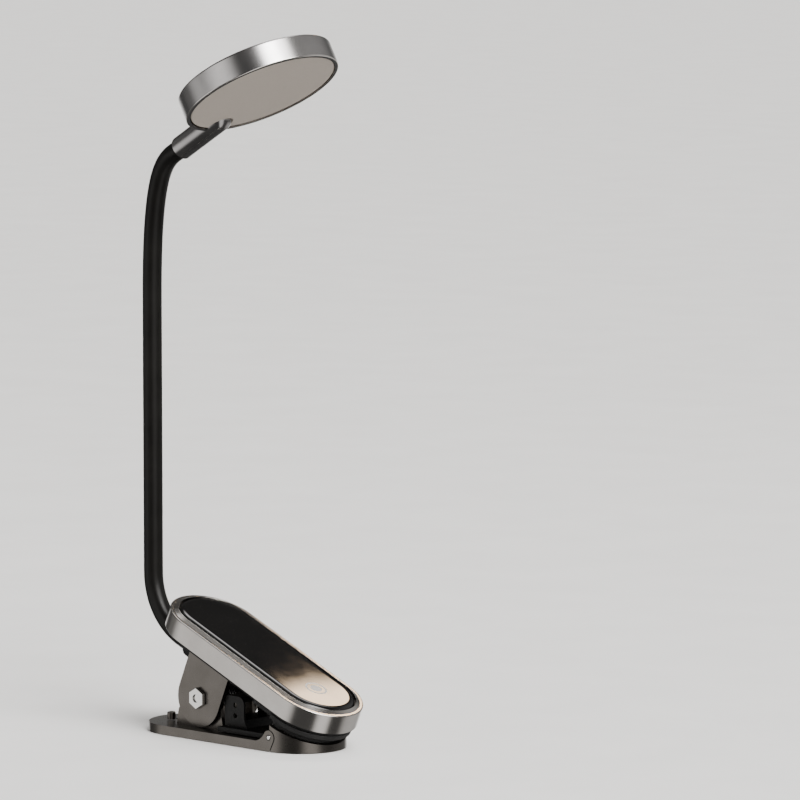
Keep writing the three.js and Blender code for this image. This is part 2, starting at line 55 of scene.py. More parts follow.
MOUNTS = {mount["name"]: mount for mount in frame["record"]["mounts"]}

# the housing leans nose-down and the head's lit face looks down and forwards: each is modelled level,
# in a frame that is turned about the world's origin, and then laid at its lean
CASE_LEAN = math.asin(-MOUNTS["clip_mouth"]["axis"][2])
HEAD_LEAN = math.radians(-29.66)
LEVEL = Matrix.Identity(4)
CASE = Matrix.Rotation(CASE_LEAN, 4, "Y")
HEAD = Matrix.Rotation(HEAD_LEAN, 4, "Y")


# ---------------------------------------------------------------- measuring the frame

class Box:
    """The lowest and highest corner of a CAD node, measured in one of the three leaning frames."""

    def __init__(self, node, lean=LEVEL):
        turn = lean.inverted()
        points = [turn @ vertex.co for vertex in frame["nodes"][node].data.vertices]
        self.low = Vector([min(point[i] for point in points) for i in range(3)])
        self.high = Vector([max(point[i] for point in points) for i in range(3)])
        self.mid = (self.low + self.high) / 2
        self.size = self.high - self.low


def joint_place(name, lean=LEVEL):
    return lean.inverted() @ Vector(JOINTS[name]["pos_m"])


RIM = Box("base_rim", CASE)
PANEL = Box("top_panel", CASE)
SHELL = Box("bottom_shell", CASE)
DRUM = Box("head_shell", HEAD)
FERRULE = Box("ferrule", HEAD)
PAD = Box("upper_pad", CASE)


# ---------------------------------------------------------------- modelling by hand, in code

def leave_edit():
    if bpy.context.object and bpy.context.object.mode != "OBJECT":
        bpy.ops.object.mode_set(mode="OBJECT")


def clear():
    """Leaves edit mode, with nothing selected."""
    leave_edit()
    bpy.ops.object.select_all(action="DESELECT")


def only(piece):
    """Makes one piece the active and the only selected one."""
    clear()
    bpy.context.view_layer.objects.active = piece
    piece.select_set(True)


def named(name):
    """Names the primitive that was just added and puts its place into its mesh."""
    piece = bpy.context.object
    piece.name = piece.data.name = name
    only(piece)
    bpy.ops.object.transform_apply(location=True, rotation=True, scale=True)
    return piece


def block(name, low, high):
    """A box between two corners."""
    clear()
    low, high = Vector(low), Vector(high)
    bpy.ops.mesh.primitive_cube_add(size=1, location=(low + high) / 2, scale=high - low)
    return named(name)


def rod(name, radius, start, end, sides=48):
    """A round bar from start to end."""
    clear()
    start, end = Vector(start), Vector(end)
    turn = (end - start).to_track_quat("Z", "Y").to_euler()
    bpy.ops.mesh.primitive_cylinder_add(vertices=sides, radius=radius, depth=(end - start).length,
                                        location=(start + end) / 2, rotation=turn)
    return named(name)


def pick(piece, kind, test):
    """In edit mode, selects the faces, edges or corners that pass a test, and nothing else."""
    if bpy.context.object is not piece or piece.mode != "EDIT":
        only(piece)
        bpy.ops.object.mode_set(mode="EDIT")
    bpy.ops.mesh.select_mode(type=kind)
    bpy.ops.mesh.select_all(action="DESELECT")
    mesh = bmesh.from_edit_mesh(piece.data)
    mesh.normal_update()
    parts = {"FACE": mesh.faces, "EDGE": mesh.edges, "VERT": mesh.verts}[kind]
    for part in [part for part in parts if test(part)]:
        part.select_set(True)
    bmesh.update_edit_mesh(piece.data)


def faces(piece, towards):
    """Selects the faces that look one way."""
    towards = Vector(towards)
    pick(piece, "FACE", lambda face: face.normal.dot(towards) > 0.99)


def edges_along(piece, axis):
    """Selects the straight edges that run one way."""
    axis = Vector(axis)

    def fits(edge):
        way = (edge.verts[1].co - edge.verts[0].co).normalized()
        return abs(way.dot(axis)) > 0.999
    pick(piece, "EDGE", fits)


def outline_at(piece, axis, height, sharp=math.radians(25), test=lambda middle: True):
    """Selects the sharp edges that lie in one level of an axis (0, 1 or 2 for x, y or z)."""
    def fits(edge):
        a, b = edge.verts[0].co, edge.verts[1].co
        level = abs(a[axis] - height) < 1e-5 and abs(b[axis] - height) < 1e-5
        folded = len(edge.link_faces) == 2 and edge.calc_face_angle(0) > sharp
        return level and folded and test((a + b) / 2)
    pick(piece, "EDGE", fits)


def round_over(width, segments=3):
    bpy.ops.mesh.bevel(offset=width, segments=segments, affect="EDGES", clamp_overlap=True)


def weld(distance=1e-6):
    bpy.ops.mesh.select_all(action="SELECT")
    bpy.ops.mesh.remove_doubles(threshold=distance)
    bpy.ops.mesh.select_all(action="DESELECT")


def extrude(x=0, y=0, z=0):
    bpy.ops.mesh.extrude_region_move(TRANSFORM_OT_translate={"value": (x, y, z)})


def stadium(name, low, high, segments=32):
    """A slab with half-round ends along x: a block whose upright corners are rounded all the way."""
    piece = block(name, low, high)
    edges_along(piece, (0, 0, 1))
    bpy.ops.mesh.bevel(offset=(high[1] - low[1]) / 2, segments=segments, affect="EDGES", clamp_overlap=False)
    weld(2e-6)
    leave_edit()
    return piece


def apply(piece, kind, **settings):
    """Adds a modifier, sets it and applies it."""
    only(piece)
    modifier = piece.modifiers.new(kind.title(), kind)
    for key, value in settings.items():
        setattr(modifier, key, value)
    bpy.ops.object.modifier_apply(modifier=modifier.name)


def soften_edges(piece, width, fold=40):
    """Rounds every edge that is folded more than so many degrees."""
    apply(piece, "BEVEL", width=width, segments=3, limit_method="ANGLE", angle_limit=math.radians(fold),
          harden_normals=False, miter_outer="MITER_ARC")


def carve(piece, cutter, operation="DIFFERENCE"):
    """Cuts one shape from another, or joins them, and removes the tool."""
    leave_edit()
    apply(piece, "BOOLEAN", object=cutter, operation=operation, solver="EXACT")
    bpy.data.objects.remove(cutter)


def smooth(piece, angle=35):
    only(piece)
    bpy.ops.object.shade_smooth_by_angle(angle=math.radians(angle))


def finish(piece, material, body, lean=LEVEL, stands_for=(), angle=35):
    """Lays a piece at its lean, gives it its material and lets it ride on its body."""
    leave_edit()
    only(piece)
    piece.matrix_world = lean
    bpy.ops.object.transform_apply(location=True, rotation=True, scale=True)
    smooth(piece, angle)
    apply(piece, "WEIGHTED_NORMAL", keep_sharp=True)
    piece.data.materials.clear()
    piece.data.materials.append(material)
    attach(piece, body)
    if stands_for:
        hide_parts(*stands_for)
    return piece


# ---------------------------------------------------------------- finishes

class Finish:
    """A node material that reads Object coordinates in millimetres."""

    def __init__(self, name, roughness, metallic=0.0):
        self.material = bpy.data.materials.new(name)
        self.material.use_nodes = True
        self.nodes = self.material.node_tree.nodes
        self.links = self.material.node_tree.links
        self.shader = self.nodes["Principled BSDF"]
        self.shader.inputs["Metallic"].default_value = metallic
        self.shader.inputs["Roughness"].default_value = roughness
        place = self.nodes.new("ShaderNodeTexCoord")
        scale = self.nodes.new("ShaderNodeMapping")
        scale.inputs["Scale"].default_value = (1000, 1000, 1000)
        self.links.new(place.outputs["Object"], scale.inputs["Vector"])
        self.millimetres = scale.outputs["Vector"]

    def noise(self, scale, detail=4.0, roughness=0.55, stretch=None):
        vector = self.millimetres
        if stretch:
            mapping = self.nodes.new("ShaderNodeMapping")
            mapping.inputs["Scale"].default_value = stretch
            self.links.new(vector, mapping.inputs["Vector"])
            vector = mapping.outputs["Vector"]
        node = self.nodes.new("ShaderNodeTexNoise")
        node.inputs["Scale"].default_value = scale
        node.inputs["Detail"].default_value = detail
        node.inputs["Roughness"].default_value = roughness
        self.links.new(vector, node.inputs["Vector"])
        return node.outputs["Fac"]

    def spread(self, value, low, high, start=0.3, end=0.7):
        node = self.nodes.new("ShaderNodeMapRange")
        for socket, number in (("From Min", start), ("From Max", end), ("To Min", low), ("To Max", high)):
            node.inputs[socket].default_value = number
        self.links.new(value, node.inputs["Value"])
        return node.outputs["Result"]

    def colours(self, value, dark, light, start=0.35, end=0.65):
        ramp = self.nodes.new("ShaderNodeValToRGB")
        ramp.color_ramp.elements[0].position = start
        ramp.color_ramp.elements[1].position = end
        ramp.color_ramp.elements[0].color = (*dark, 1)
        ramp.color_ramp.elements[1].color = (*light, 1)
        self.links.new(value, ramp.inputs["Fac"])
        self.links.new(ramp.outputs["Color"], self.shader.inputs["Base Color"])
        return ramp.outputs["Color"]

    def rough(self, value, low, high):
        self.links.new(self.spread(value, low, high), self.shader.inputs["Roughness"])

    def bump(self, value, height_mm, strength=1.0):
        node = self.nodes.new("ShaderNodeBump")
        node.inputs["Distance"].default_value = height_mm * MM
        node.inputs["Strength"].default_value = strength
        self.links.new(value, node.inputs["Height"])
        self.links.new(node.outputs["Normal"], self.shader.inputs["Normal"])


def satin_metal(name, dark, light, rough_low=0.3, rough_high=0.38):
    """Blasted and coated metal: a fine grain under a soft, slightly uneven tone."""
    look = Finish(name, 0.34, metallic=1.0)
    look.colours(look.noise(0.09, detail=3), dark, light)
    look.rough(look.noise(2.2), rough_low, rough_high)
    look.bump(look.noise(14.0, detail=2), 0.0003)
    return look.material


def polished_metal(name, colour=(0.86, 0.85, 0.83)):
    look = Finish(name, 0.1, metallic=1.0)
    look.colours(look.noise(0.5), tuple(c * 0.94 for c in colour), colour)
    look.rough(look.noise(1.2, stretch=(1, 6, 1)), 0.06, 0.14)
    return look.material


def black_plastic(name, tone=0.006, rough=0.45, grain=5.0):
    look = Finish(name, rough)
    look.shader.inputs["Specular IOR Level"].default_value = 0.3
    look.colours(look.noise(0.2), (tone * 0.8,) * 3, (tone * 1.3, tone * 1.25, tone * 1.2))
    look.rough(look.noise(1.6), rough - 0.06, rough + 0.08)
    look.bump(look.noise(grain, detail=3), 0.012)
    return look.material


def black_silicone(name):
    """The neck's skin: satin black with a faint handled sheen."""
    look = Finish(name, 0.42)
    look.colours(look.noise(0.06), (0.0045, 0.0042, 0.0039), (0.0075, 0.007, 0.0064))
    look.rough(look.noise(0.35, stretch=(1, 1, 0.25)), 0.28, 0.36)
    look.bump(look.noise(6.0, detail=3), 0.003)
    look.shader.inputs["Specular IOR Level"].default_value = 0.16
    return look.material


def black_rubber(name):
    look = Finish(name, 0.62)
    look.colours(look.noise(0.3), (0.006, 0.006, 0.006), (0.012, 0.0115, 0.011))
    look.rough(look.noise(1.5), 0.55, 0.7)
    look.bump(look.noise(3.5, detail=4), 0.02)
    return look.material


def black_glass(name):
    look = Finish(name, 0.035)
    look.colours(look.noise(0.05), (0.002, 0.0019, 0.0018), (0.0032, 0.003, 0.0028))
    look.rough(look.noise(0.12), 0.02, 0.05)
    look.shader.inputs["IOR"].default_value = 1.52
    return look.material


def frosted(name):
    """The diffuser: warm frosted plastic with a fine sparkle grain."""
    look = Finish(name, 0.6)
    grain = look.noise(3.6, detail=6, roughness=0.75)
    look.colours(grain, (0.2, 0.175, 0.151), (0.305, 0.268, 0.232), 0.34, 0.66)
    look.rough(look.noise(4.0), 0.5, 0.7)
    look.bump(look.noise(6.0, detail=5), 0.015)
    return look.material


def plain_plastic(name, dark, light, rough=0.45):
    look = Finish(name, rough)
    look.colours(look.noise(0.4), dark, light)
    look.rough(look.noise(1.5), rough - 0.07, rough + 0.07)
    look.bump(look.noise(5.0), 0.006)
    return look.material


def circuit(name, dark, light):
    look = Finish(name, 0.35)
    look.colours(look.noise(1.4, detail=1, stretch=(1, 0.2, 1)), dark, light, 0.47, 0.53)
    look.rough(look.noise(2.0), 0.3, 0.42)
    return look.material


def clear_acrylic(name):
    look = Finish(name, 0.08)
    look.colours(look.noise(0.3), (0.9, 0.9, 0.88), (0.96, 0.96, 0.95))
    look.rough(look.noise(1.0), 0.05, 0.12)
    look.shader.inputs["Transmission Weight"].default_value = 0.8
    look.shader.inputs["IOR"].default_value = 1.49
    return look.material


GUNMETAL = satin_metal("gunmetal", (0.14, 0.129, 0.117), (0.165, 0.152, 0.139), 0.27, 0.295)
RIM_METAL = satin_metal("rim_metal", (0.5, 0.478, 0.455), (0.55, 0.528, 0.503), 0.165, 0.185)
EDGE_METAL = polished_metal("cut_edge", (0.8, 0.77, 0.74))
HEAD_METAL = satin_metal("head_metal", (0.36, 0.35, 0.35), (0.41, 0.4, 0.395), 0.2, 0.225)
BRIGHT = polished_metal("polished_steel")
WIRE = satin_metal("spring_wire", (0.42, 0.42, 0.42), (0.5, 0.5, 0.5), 0.24, 0.34)
PLASTIC = black_plastic("black_plastic")
SILICONE = black_silicone("black_silicone")
RUBBER = black_rubber("black_rubber")
GLASS = black_glass("black_glass")
KEY_WHITE = plain_plastic("key_white", (0.4, 0.385, 0.37), (0.45, 0.435, 0.42), 0.3)
FROST = frosted("frosted_diffuser")
ACRYLIC = clear_acrylic("clear_acrylic")
GREEN_BOARD = circuit("green_board", (0.008, 0.05, 0.02), (0.02, 0.1, 0.045))
WHITE_BOARD = circuit("white_board", (0.62, 0.62, 0.6), (0.8, 0.8, 0.78))
PHOSPHOR = plain_plastic("led_phosphor", (0.8, 0.56, 0.12), (0.9, 0.68, 0.2), 0.4)
CELL_WRAP = satin_metal("cell_wrap", (0.45, 0.48, 0.5), (0.56, 0.58, 0.6), 0.3, 0.45)


# ---------------------------------------------------------------- base housing

# the rim's height up to its flat outer land, how wide the land is, how far in the crest stands and how high,
# then the wall's thickness, the well that takes the glass, the ledge under it and the hollow below
RIM_HEIGHT = 7.7 * MM
RIM_LAND = 1.35 * MM
RIM_BORDER = 2.95 * MM
RIM_CREST = 0.84 * MM
RIM_WALL = 1.9 * MM
RIM_WELL = 1.4 * MM
RIM_LEDGE = 1.5 * MM
RIM_CAVITY = 5.6 * MM
# how far its outer edge, its crest and its foot are rounded, and the room round the socket in its wall
RIM_EDGE_ROUND = 0.42 * MM
RIM_CREST_ROUND = 0.12 * MM
RIM_FOOT_ROUND = 0.22 * MM
SOCKET_ROOM = 0.3 * MM
SOCKET_CORNER = 0.55
# the glass: how wide its curved border is and how far that falls, in so many steps
DOME_WIDTH = 2.7 * MM
DOME_DROP = 1.9 * MM
DOME_STEPS = 12
KEY_RING_WIDTH = 0.7 * MM
SNUG = 0.02 * MM
# the bottom shell: its flange, the step in to its body, its wall and floor, and the wells for its screws
SHELL_FLANGE = 1.0 * MM
SHELL_STEP = 1.2 * MM
SHELL_WALL = 1.4 * MM
SHELL_FLOOR = 0.3 * MM
HEAD_WELL = 1.0 * MM
SHANK_WELL = 4 * MM
SHANK_ROOM = 0.95 * MM
HEAD_ROOM = 0.15 * MM
SHELL_ROUND = 0.45 * MM
# the upper pad narrows to this half width behind its shoulder
PAD_NECK = 15 * MM
PAD_SHOULDER = 11 * MM
# a cutter reaches this far past what it cuts
BEYOND = 0.1
# corners of a CAD piece closer than this are one, and faces that fold less than this are one
SAME_PLACE = 0.002 * MM
SAME_FACE = math.radians(1.5)


def is_cap(face):
    """The big flat outline faces left after insetting a stadium or a disc."""
    return abs(face.normal.z) > 0.99 and len(face.verts) > 60


def housing_rim():
    """The metal rim: a flat outer land, a frame that slopes up beside the glass, a ledge and a hollow."""
    top = RIM.low.z + RIM_HEIGHT
    rim = stadium("housing_rim", RIM.low, (RIM.high.x, RIM.high.y, top), 40)
    faces(rim, (0, 0, 1))
    bpy.ops.mesh.inset(thickness=RIM_LAND)
    bpy.ops.mesh.inset(thickness=RIM_BORDER - RIM_LAND, depth=RIM_CREST)
    extrude(z=-RIM_CREST - RIM_WELL)
    bpy.ops.mesh.inset(thickness=RIM_LEDGE)
    faces(rim, (0, 0, -1))
    bpy.ops.mesh.inset(thickness=RIM_WALL)
    extrude(z=RIM_CAVITY)
    bpy.ops.mesh.inset(thickness=RIM_BORDER + RIM_LEDGE - RIM_WALL)
    pick(rim, "FACE", is_cap)
    bpy.ops.mesh.bridge_edge_loops()
    outline_at(rim, 2, top, sharp=math.radians(60))
    round_over(RIM_EDGE_ROUND, 6)
    outline_at(rim, 2, top + RIM_CREST)
    round_over(RIM_CREST_ROUND, 6)
    outline_at(rim, 2, RIM.low.z)
    round_over(RIM_FOOT_ROUND, 5)
    socket = Box("usb_socket", CASE)
    room = Vector((SOCKET_ROOM, 0, SOCKET_ROOM))
    outside = Vector((socket.high.x, RIM.high.y + 10 * MM, socket.high.z))
    mouth = block("mouth", socket.low - room, outside + room)
    edges_along(mouth, (0, 1, 0))
    bpy.ops.mesh.bevel(offset=socket.size.z * SOCKET_CORNER, segments=8, affect="EDGES", clamp_overlap=True)
    carve(rim, mouth)
    finish(rim, RIM_METAL, "housing", CASE, ["base_rim"], angle=22)


def upright(name, radius, middle, low, high, sides=48):
    """A rod along z that stands on one place of a level, from one height to another."""
    return rod(name, radius, (middle.x, middle.y, low), (middle.x, middle.y, high), sides)


def washer(name, middle, outer, inner, low, high):
    """A flat ring: a disc with both faces inset and the two insets joined into a hole."""
    ring = upright(name, outer, middle, low, high, 72)
    pick(ring, "FACE", is_cap)
    bpy.ops.mesh.inset(thickness=outer - inner, use_individual=True)
    pick(ring, "FACE", is_cap)
    bpy.ops.mesh.bridge_edge_loops()
    return ring


def glass_panel():
    """The domed glass, and the touch ring and dot that sit flush in it."""
    side_top = PANEL.high.z - DOME_DROP
    panel = stadium("glass_panel", PANEL.low, (PANEL.high.x, PANEL.high.y, side_top), 48)
    faces(panel, (0, 0, 1))
    for step in range(DOME_STEPS):
        before, after = step / DOME_STEPS * QUARTER, (step + 1) / DOME_STEPS * QUARTER
        bpy.ops.mesh.inset(thickness=DOME_WIDTH * (math.cos(before) - math.cos(after)),
                           depth=DOME_DROP * (math.sin(after) - math.sin(before)))
    outline_at(panel, 2, PANEL.low.z)
    round_over(0.15 * MM, 2)
    ring, dot = Box("key_ring", CASE), Box("key_dot", CASE)
    outer, dot_radius = ring.size.y / 2, dot.size.y / 2
    inner = outer - KEY_RING_WIDTH
    top = PANEL.high.z
    carve(panel, washer("pocket", ring.mid, outer + SNUG, inner - SNUG, ring.low.z, top + MM))
    carve(panel, upright("pocket", dot_radius + SNUG, dot.mid, dot.low.z, top + MM, 64))
    finish(panel, GLASS, "housing", CASE, ["top_panel"])
    mark = washer("key_mark_ring", ring.mid, outer, inner, ring.low.z, top)
    finish(mark, KEY_WHITE, "housing", CASE, ["key_ring"])
    spot = upright("key_mark_dot", dot_radius, dot.mid, dot.low.z, top, 64)
    pick(spot, "EDGE", lambda edge: min(v.co.z for v in edge.verts) > top - 1e-6)
    round_over(0.05 * MM, 2)
    finish(spot, KEY_WHITE, "housing", CASE, ["key_dot"])


def bottom_shell():
    """The shell that closes the rim from below, with a stepped well for each screw."""
    low = SHELL.low
    body = SHELL.size.z - SHELL_FLANGE
    shell = stadium("housing_underside", low, (SHELL.high.x, SHELL.high.y, low.z + SHELL_FLANGE), 36)
    faces(shell, (0, 0, 1))
    bpy.ops.mesh.inset(thickness=SHELL_STEP)
    extrude(z=body)
    bpy.ops.mesh.inset(thickness=SHELL_WALL)
    extrude(z=-(body - SHELL_FLOOR))
    outline_at(shell, 2, low.z)
    round_over(SHELL_ROUND, 4)
    for number in range(1, 5):
        place = Box(f"case_screw_{number}", CASE)
        room = place.size.y / 2 + HEAD_ROOM
        carve(shell, upright("well", room, place.mid, low.z - MM, low.z + HEAD_WELL, 24))
        carve(shell, upright("well", SHANK_ROOM, place.mid, low.z, low.z + SHANK_WELL, 24))
    finish(shell, PLASTIC, "housing", CASE, ["bottom_shell"])


def softened(node, name, material, body, width):
    """A CAD piece with its edges rounded: a merged copy, its flat faces made whole, then bevelled."""
    clear()
    piece = frame["nodes"][node].copy()
    piece.data = piece.data.copy()
    piece.parent = None
    piece.matrix_world = LEVEL
    piece.name = piece.data.name = name
    for key in list(piece.keys()):
        del piece[key]
    bpy.context.collection.objects.link(piece)
    only(piece)
    bpy.ops.object.mode_set(mode="EDIT")
    bpy.ops.mesh.select_all(action="SELECT")
    bpy.ops.mesh.remove_doubles(threshold=SAME_PLACE)
    bpy.ops.mesh.dissolve_limited(angle_limit=SAME_FACE)
    bpy.ops.mesh.normals_make_consistent(inside=False)
    leave_edit()
    soften_edges(piece, width)
    finish(piece, material, body, LEVEL, [node])


def upper_pad():
    """The rubber under the housing: D-shaped in front, narrower where it passes between the jaw's wings."""
    low, high = PAD.low, PAD.high
    half = PAD.size.y / 2
    under, over = low.z - MM, high.z + MM
    pad = stadium("upper_pad_rubber", (high.x - 4 * half, low.y, low.z), high, 32)
    for side in (-1, 1):
        inner, outer = sorted((side * PAD_NECK, side * 2 * half))
        carve(pad, block("shoulder", (low.x - BEYOND, inner, under), (low.x + PAD_SHOULDER, outer, over)))
    carve(pad, block("rear", (low.x - BEYOND, -BEYOND, under), (low.x, BEYOND, over)))
    soften_edges(pad, 0.35 * MM)
    finish(pad, RUBBER, "housing", CASE, ["upper_pad"])


# ---------------------------------------------------------------- screws, pins and wires

SCREW_HEAD = 1.6 * MM
SCREW_SHANK = 0.8 * MM
SCREW_HEAD_HEIGHT = 0.6 * MM
SHORT_SCREW = 4 * MM
CROSS_REACH = 0.62
CROSS_WIDTH = 0.16 * MM


def screw(name, node, body, lean):
    """A pan-head screw with a cross recess, its head at the low end."""
    place = Box(node, lean)
    head = SCREW_HEAD_HEIGHT if place.size.z > SHORT_SCREW else place.size.z / 4
    piece = upright(name, SCREW_HEAD, place.mid, place.low.z, place.low.z + head, 40)
    faces(piece, (0, 0, 1))
    bpy.ops.mesh.inset(thickness=SCREW_HEAD - SCREW_SHANK)
    extrude(z=place.size.z - head)
    outline_at(piece, 2, place.low.z)
    round_over(head * 0.45, 3)
    outline_at(piece, 2, place.high.z)
    round_over(SCREW_SHANK * 0.4, 2)
    reach = SCREW_HEAD * CROSS_REACH
    for long, wide in ((reach, CROSS_WIDTH), (CROSS_WIDTH, reach)):
        carve(piece, block("slot", (place.mid.x - long, place.mid.y - wide, place.low.z - MM),
                           (place.mid.x + long, place.mid.y + wide, place.low.z + head * 0.6)))
    finish(piece, BRIGHT if lean is HEAD else WIRE, body, lean, [node])


def pin(name, node, material, body, chamfer, sides=48):
    """A turned pin along y with eased ends."""
    place = Box(node)
    piece = rod(name, place.size.z / 2, (place.mid.x, place.low.y, place.mid.z),
                (place.mid.x, place.high.y, place.mid.z), sides)
    for end in (place.low.y, place.high.y):
        outline_at(piece, 1, end)
        round_over(chamfer, 3)
    finish(piece, material, body, LEVEL, [node])


CAP_RECESS = 1.6 * MM
CAP_RECESS_DEPTH = 0.6 * MM


def hex_cap(side, name, node):
    """The hexagonal cap on the axle's end, with a round recess turned into its face."""
    place = Box(node)
    outer = place.high.y if side > 0 else place.low.y
    inner = place.low.y if side > 0 else place.high.y
    radius = place.size.z / 2
    cap = rod(name, radius, (place.mid.x, inner, place.mid.z), (place.mid.x, outer, place.mid.z), 6)
    lowest = min(vertex.co.z for vertex in cap.data.vertices)
    if lowest > place.low.z + 1e-5:
        only(cap)
        bpy.ops.object.mode_set(mode="EDIT")
        bpy.ops.mesh.select_all(action="SELECT")
        bpy.ops.transform.rotate(value=math.radians(30), orient_axis="Y", center_override=place.mid)
    outline_at(cap, 1, outer)
    round_over(0.28 * MM, 3)
    carve(cap, rod("recess", CAP_RECESS, (place.mid.x, outer - side * CAP_RECESS_DEPTH, place.mid.z),
                   (place.mid.x, outer + side * MM, place.mid.z)))
    finish(cap, BRIGHT, "foot", LEVEL, [node], angle=25)


SPRING_WIRE = 0.56 * MM
SPRING_COIL = 3.9 * MM
COIL_STEPS = 40
LEG_STEPS = 6


def wire(name, points, body, node):
    """A bent spring wire: a round section along a smooth line, made a closed mesh."""
    clear()
    line = bpy.data.curves.new(name, "CURVE")
    line.dimensions = "3D"
    line.bevel_depth = SPRING_WIRE
    line.bevel_resolution = 4
    line.use_fill_caps = True
    spline = line.splines.new("POLY")
    spline.points.add(len(points) - 1)
    for point, place in zip(spline.points, points):
        point.co = (*place, 1)
    piece = bpy.data.objects.new(name, line)
    bpy.context.collection.objects.link(piece)
    only(piece)
    bpy.ops.object.convert(target="MESH")
    piece = bpy.context.object
    piece.data.name = name
    finish(piece, WIRE, body, LEVEL, [node], angle=50)


def spring_half(name, node, body, side, lean, turns, leg, first=0.9, pitch=1.3):
    """One half of the torsion spring: coils round the axle, then a leg that leaves them, in millimetres."""
    axle = joint_place("clamp_hinge", lean)
    points = []
    for step in range(round(turns * COIL_STEPS) + 1):
        turned = step / COIL_STEPS
        angle = -turned * 2 * math.pi
        points.append(Vector((axle.x + SPRING_COIL * math.cos(angle), side * (first + turned * pitch) * MM,
                              axle.z + SPRING_COIL * math.sin(angle))))
    before = points[-1]
    for x, z in leg:
        corner = Vector((axle.x + x * MM, before.y, axle.z + z * MM))
        for step in range(1, LEG_STEPS + 1):
            points.append(before.lerp(corner, step / LEG_STEPS))
        before = corner
    wire(name, [lean @ point for point in points], body, node)


# ---------------------------------------------------------------- neck skin

NECK_RADIUS = 3.65 * MM
NECK_SIDES = 48
RING_GAP = 1.0 * MM
# the first and last stretch reach this far past their joint
END_STRETCH = 12 * MM
# the route: a straight tail in the socket, a bend, an upright, and one curve from the crown to the ferrule
NECK_TAIL = 13.5 * MM
BEND_RADIUS = 25.3 * MM
NECK_X = JOINTS["neck_flex_1"]["pos_m"][0]
BEND_TOP = 58 * MM
CROWN = 162.3 * MM
CROWN_REACH = 52.7 * MM
FERRULE_REACH = 8.65 * MM
IN_FERRULE = 7 * MM
TAIL_POINTS, BEND_POINTS, CROWN_POINTS, FERRULE_POINTS = 60, 200, 300, 30


def neck_line():
    """The neck's middle line from inside its socket to inside the ferrule, as closely spaced points."""
    turn = QUARTER - CASE_LEAN
    centre = Vector((NECK_X + BEND_RADIUS, 0, BEND_TOP))
    along_case = Vector((math.cos(CASE_LEAN), 0, -math.sin(CASE_LEAN)))
    along_head = HEAD @ Vector((1, 0, 0))
    start = HEAD @ Vector((FERRULE.low.x, 0, FERRULE.mid.z))
    points = []
    foot = centre + BEND_RADIUS * Vector((math.cos(math.pi + turn), 0, math.sin(math.pi + turn)))
    for step in range(TAIL_POINTS):
        points.append(foot + along_case * NECK_TAIL * (1 - step / TAIL_POINTS))
    for step in range(BEND_POINTS):
        angle = math.pi + turn * (1 - step / BEND_POINTS)
        points.append(centre + BEND_RADIUS * Vector((math.cos(angle), 0, math.sin(angle))))
    for step in range(BEND_POINTS):
        points.append(Vector((NECK_X, 0, BEND_TOP + (CROWN - BEND_TOP) * step / BEND_POINTS)))
    corners = [Vector((NECK_X, 0, CROWN)), Vector((NECK_X, 0, CROWN + CROWN_REACH)),
               start - along_head * FERRULE_REACH, start]
    for step in range(CROWN_POINTS):
        t = step / CROWN_POINTS
        weights = ((1 - t) ** 3, 3 * t * (1 - t) ** 2, 3 * t * t * (1 - t), t ** 3)
        points.append(sum((corner * weight for corner, weight in zip(corners, weights)), Vector()))
    for step in range(FERRULE_POINTS + 1):
        points.append(start + along_head * IN_FERRULE * step / FERRULE_POINTS)
    return points


class Route:
    """Points and directions by length along a line."""

    def __init__(self, points):
        self.points = points
        self.reach = [0.0]
        for before, after in zip(points, points[1:]):
            self.reach.append(self.reach[-1] + (after - before).length)
        self.length = self.reach[-1]

    def at(self, length):
        length = min(max(length, 0), self.length)
        low, high = 0, len(self.reach) - 1
        while high - low > 1:
            index = (low + high) // 2
            if self.reach[index] <= length:
                low = index
            else:
                high = index
        share = (length - self.reach[low]) / (self.reach[high] - self.reach[low])
        return self.points[low].lerp(self.points[high], share)

    def direction(self, length):
        return (self.at(length + 0.4 * MM) - self.at(length - 0.4 * MM)).normalized()


def neck_skin(name, route, start, end):
    """A closed stretch of the neck's round skin, laid ring by ring along the route."""
    rings = max(2, round((end - start) / RING_GAP))
    mesh = bmesh.new()
    loops = []
    for ring in range(rings + 1):
        length = start + (end - start) * ring / rings
        middle, along = route.at(length), route.direction(length)
        across = Vector((0, 1, 0))
        up = along.cross(across)
        turns = [2 * math.pi * side / NECK_SIDES for side in range(NECK_SIDES)]
        loops.append([mesh.verts.new(middle + NECK_RADIUS * (across * math.cos(turn) + up * math.sin(turn)))
                      for turn in turns])
    for before, after in zip(loops, loops[1:]):
        for side in range(NECK_SIDES):
            following = (side + 1) % NECK_SIDES
            mesh.faces.new((before[side], before[following], after[following], after[side]))
    mesh.faces.new(loops[0])
    mesh.faces.new(loops[-1])
    bmesh.ops.recalc_face_normals(mesh, faces=mesh.faces)
    data = bpy.data.meshes.new(name)
    mesh.to_mesh(data)
    mesh.free()
    piece = bpy.data.objects.new(name, data)
    bpy.context.collection.objects.link(piece)
    only(piece)
    smooth(piece, 50)
    piece.data.materials.append(SILICONE)
    return piece


